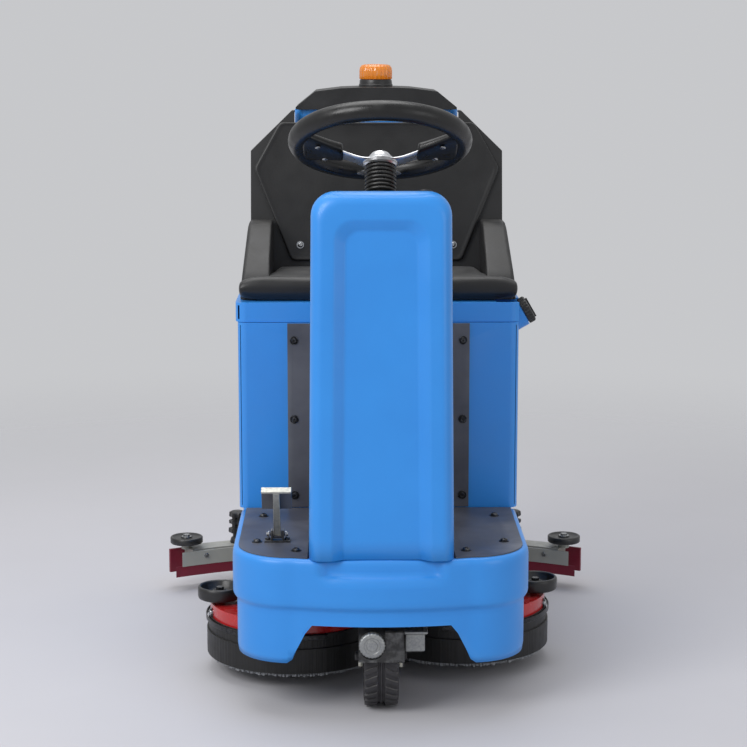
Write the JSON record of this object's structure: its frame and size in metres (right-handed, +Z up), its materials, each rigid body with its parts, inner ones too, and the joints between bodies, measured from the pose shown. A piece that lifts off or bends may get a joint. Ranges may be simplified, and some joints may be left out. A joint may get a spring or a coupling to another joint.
{
  "type": "ride-on floor scrubber",
  "caption": "Compact ride-on floor scrubber with a front drive wheel, seat over the tanks, disc brush deck and curved rear squeegee.",
  "frame": {"origin": "on the floor, under the middle of the machine's overall box", "axes": "+X to the left hand of a driver looking ahead, +Y to the rear of the machine, +Z up"},
  "size_m": [1.08, 1.1999, 1.355],
  "materials": {
    "blue_moulding": "rotationally moulded polyethylene, satin blue",
    "black_moulding": "moulded black plastic with a fine grain",
    "plate_paint": "slate powder-coated steel plate",
    "frame_paint": "black powder-coated steel",
    "red_paint": "gloss red paint on a steel deck",
    "grey_paint": "grey painted aluminium",
    "dark_bolts": "blackened steel button heads",
    "bare_steel": "turned steel",
    "bright_chrome": "chromed pressed plate",
    "cast_alloy": "cast aluminium",
    "dark_casting": "dark grey painted casting",
    "tyre_rubber": "solid rubber tyre",
    "soft_rubber": "black rubber",
    "red_rubber": "maroon squeegee rubber",
    "grip_foam": "moulded black grip",
    "seat_vinyl": "skinned foam, black",
    "brush_fibre": "nylon fibre on a plastic disc",
    "battery_case": "moulded battery case",
    "red_button": "glossy red button",
    "amber_lens": "clear amber lens"
  },
  "bodies": {
    "chassis": {"main_frame": "frame_paint", "solution_tank": "blue_moulding", "base_cowl": "blue_moulding", "front_tower": "blue_moulding", "control_panel": "black_moulding", "footplates": "plate_paint", "cover_bolts": "dark_bolts", "tank_front_plate": "plate_paint", "batteries": "battery_case", "rear_axle": "bare_steel", "column_boot": "soft_rubber", "pedal_bracket": "frame_paint", "deck_actuator": "cast_alloy", "motor_controller": "cast_alloy"},
    "steering_wheel": {"steering_rim": "grip_foam", "steering_spokes": "bright_chrome", "steering_shaft": "bare_steel"},
    "drive_unit": {"drive_fork": "frame_paint", "drive_motor": "bare_steel", "drive_housing": "dark_casting", "brake_cover": "cast_alloy"},
    "drive_wheel": {"drive_rim": "cast_alloy", "drive_tyre": "tyre_rubber"},
    "rear_wheel_left": {"rear_rim_left": "cast_alloy", "rear_tyre_left": "tyre_rubber"},
    "rear_wheel_right": {"rear_rim_right": "cast_alloy", "rear_tyre_right": "tyre_rubber"},
    "pedal": {"accelerator_pedal": "plate_paint"},
    "key": {"ignition_key": "bare_steel"},
    "speed_dial": {"speed_knob": "black_moulding"},
    "stop_button": {"emergency_stop": "red_button"},
    "horn": {"horn_button": "black_moulding"},
    "direction_rocker": {"direction_switch": "black_moulding"},
    "filler": {"filler_cap": "black_moulding"},
    "deck_arms": {"deck_lower_arms": "frame_paint"},
    "deck_link": {"deck_upper_link": "frame_paint"},
    "deck_rod": {"deck_actuator_rod": "bare_steel"},
    "deck": {"deck_housing": "red_paint", "deck_skirt": "soft_rubber", "brush_motors": "dark_casting"},
    "left_brush": {"brush_left": "brush_fibre"},
    "right_brush": {"brush_right": "brush_fibre"},
    "left_bumper": {"bumper_roller_left": "black_moulding"},
    "right_bumper": {"bumper_roller_right": "black_moulding"},
    "squeegee_swivel": {"squeegee_yoke": "frame_paint"},
    "squeegee": {"squeegee_arm": "frame_paint", "squeegee_body": "grey_paint", "squeegee_blades": "red_rubber"},
    "squeegee_wheel_left": {"squeegee_roller_left": "black_moulding"},
    "squeegee_wheel_right": {"squeegee_roller_right": "black_moulding"},
    "squeegee_clamp_left": {"squeegee_knob_left": "black_moulding"},
    "squeegee_clamp_right": {"squeegee_knob_right": "black_moulding"},
    "upper_tank": {"recovery_tank": "blue_moulding", "seat_shell": "black_moulding", "seat_cushion": "seat_vinyl", "backrest_panel": "seat_vinyl", "vacuum_motor": "cast_alloy"},
    "lid": {"tank_lid": "black_moulding", "beacon_base": "black_moulding", "beacon_lens": "amber_lens"}
  },
  "joints": [
    {"name": "fork_steer", "type": "hinge", "parent": "chassis", "child": "drive_unit", "pos_m": [0, -0.477, 0.3], "axis": [0, 0, 1], "range_deg": [-70, 70]},
    {"name": "steering_turn", "type": "hinge", "parent": "chassis", "child": "steering_wheel", "pos_m": [0, -0.34, 1.2], "axis": [0, 0.4067, 0.9135], "range_deg": [-70, 70]},
    {"name": "drive_wheel_spin", "type": "hinge", "parent": "drive_unit", "child": "drive_wheel", "pos_m": [0, -0.477, 0.106], "axis": [1, 0, 0], "continuous": true},
    {"name": "rear_wheel_left_spin", "type": "hinge", "parent": "chassis", "child": "rear_wheel_left", "pos_m": [-0.272, 0.28, 0.13], "axis": [1, 0, 0], "continuous": true},
    {"name": "rear_wheel_right_spin", "type": "hinge", "parent": "chassis", "child": "rear_wheel_right", "pos_m": [0.272, 0.28, 0.13], "axis": [1, 0, 0], "continuous": true},
    {"name": "pedal_press", "type": "hinge", "parent": "chassis", "child": "pedal", "pos_m": [-0.222, -0.43, 0.364], "axis": [1, 0, 0], "range_deg": [0, 22], "stiffness_Nm_per_rad": 4, "springref_deg": -14.32},
    {"name": "key_turn", "type": "hinge", "parent": "chassis", "child": "key", "pos_m": [-0.092, -0.41768, 1.06245], "axis": [0, 0.4067, 0.9135], "range_deg": [0, 90]},
    {"name": "speed_dial_turn", "type": "hinge", "parent": "chassis", "child": "speed_dial", "pos_m": [0.092, -0.46519, 1.0836], "axis": [0, 0.4067, 0.9135], "range_deg": [-135, 135]},
    {"name": "stop_press", "type": "slide", "parent": "chassis", "child": "stop_button", "axis": [0, -0.4067, -0.9135], "range_m": [0, 0.005]},
    {"name": "horn_press", "type": "slide", "parent": "chassis", "child": "horn", "axis": [0, -0.4067, -0.9135], "range_m": [0, 0.003], "stiffness_N_per_m": 600, "springref_m": -0.003},
    {"name": "direction_rock", "type": "hinge", "parent": "chassis", "child": "direction_rocker", "pos_m": [-0.092, -0.36886, 1.0418], "axis": [1, 0, 0], "range_deg": [-10, 10]},
    {"name": "filler_cap_turn", "type": "hinge", "parent": "chassis", "child": "filler", "pos_m": [0.338, -0.055, 0.798], "axis": [0.866, 0, 0.5], "range_deg": [0, 90]},
    {"name": "deck_lift", "type": "hinge", "parent": "chassis", "child": "deck_arms", "pos_m": [0, 0.12, 0.235], "axis": [1, 0, 0], "range_deg": [0, 9.5]},
    {"name": "deck_link_turn", "type": "hinge", "parent": "chassis", "child": "deck_link", "pos_m": [0, 0.12, 0.285], "axis": [1, 0, 0], "range_deg": [0, 9.5]},
    {"name": "deck_rod_slide", "type": "slide", "parent": "chassis", "child": "deck_rod", "axis": [0, -1, 0], "range_m": [0, 0.005]},
    {"name": "deck_level", "type": "hinge", "parent": "deck_arms", "child": "deck", "pos_m": [0, -0.1, 0.2], "axis": [1, 0, 0], "range_deg": [-9.5, 0]},
    {"name": "left_brush_spin", "type": "hinge", "parent": "deck", "child": "left_brush", "pos_m": [-0.19, -0.2, 0.1], "axis": [0, 0, 1], "continuous": true},
    {"name": "right_brush_spin", "type": "hinge", "parent": "deck", "child": "right_brush", "pos_m": [0.19, -0.13, 0.1], "axis": [0, 0, 1], "continuous": true},
    {"name": "left_bumper_spin", "type": "hinge", "parent": "deck", "child": "left_bumper", "pos_m": [-0.361, -0.23, 0.165], "axis": [0, 0, 1], "continuous": true},
    {"name": "right_bumper_spin", "type": "hinge", "parent": "deck", "child": "right_bumper", "pos_m": [0.361, -0.16, 0.165], "axis": [0, 0, 1], "continuous": true},
    {"name": "squeegee_swing", "type": "hinge", "parent": "chassis", "child": "squeegee_swivel", "pos_m": [0, 0.19, 0.2], "axis": [0, 0, 1], "range_deg": [-15, 15]},
    {"name": "squeegee_lift", "type": "hinge", "parent": "squeegee_swivel", "child": "squeegee", "pos_m": [0, 0.23, 0.205], "axis": [1, 0, 0], "range_deg": [-6.4, 0]},
    {"name": "squeegee_wheel_left_spin", "type": "hinge", "parent": "squeegee", "child": "squeegee_wheel_left", "pos_m": [-0.492, 0.44454, 0.13], "axis": [0, 0, 1], "continuous": true},
    {"name": "squeegee_wheel_right_spin", "type": "hinge", "parent": "squeegee", "child": "squeegee_wheel_right", "pos_m": [0.492, 0.44454, 0.13], "axis": [0, 0, 1], "continuous": true},
    {"name": "squeegee_clamp_left_turn", "type": "hinge", "parent": "squeegee", "child": "squeegee_clamp_left", "pos_m": [-0.363, 0.50123, 0.13], "axis": [0, 0, 1], "range_deg": [-180, 180]},
    {"name": "squeegee_clamp_right_turn", "type": "hinge", "parent": "squeegee", "child": "squeegee_clamp_right", "pos_m": [0.363, 0.50123, 0.13], "axis": [0, 0, 1], "range_deg": [-180, 180]},
    {"name": "upper_tank_tilt", "type": "hinge", "parent": "chassis", "child": "upper_tank", "pos_m": [0, 0.498, 0.79], "axis": [1, 0, 0], "range_deg": [-60, 0]},
    {"name": "lid_open", "type": "hinge", "parent": "upper_tank", "child": "lid", "pos_m": [0, 0.535, 1.254], "axis": [1, 0, 0], "range_deg": [-80, 0]}
  ],
  "couplings": [
    {"joint": "steering_turn", "follows": "fork_steer", "ratio": 1},
    {"joint": "deck_level", "follows": "deck_lift", "ratio": -1},
    {"joint": "deck_link_turn", "follows": "deck_lift", "ratio": 1},
    {"joint": "deck_rod_slide", "follows": "deck_lift", "m_per_rad": 0.02986}
  ]
}
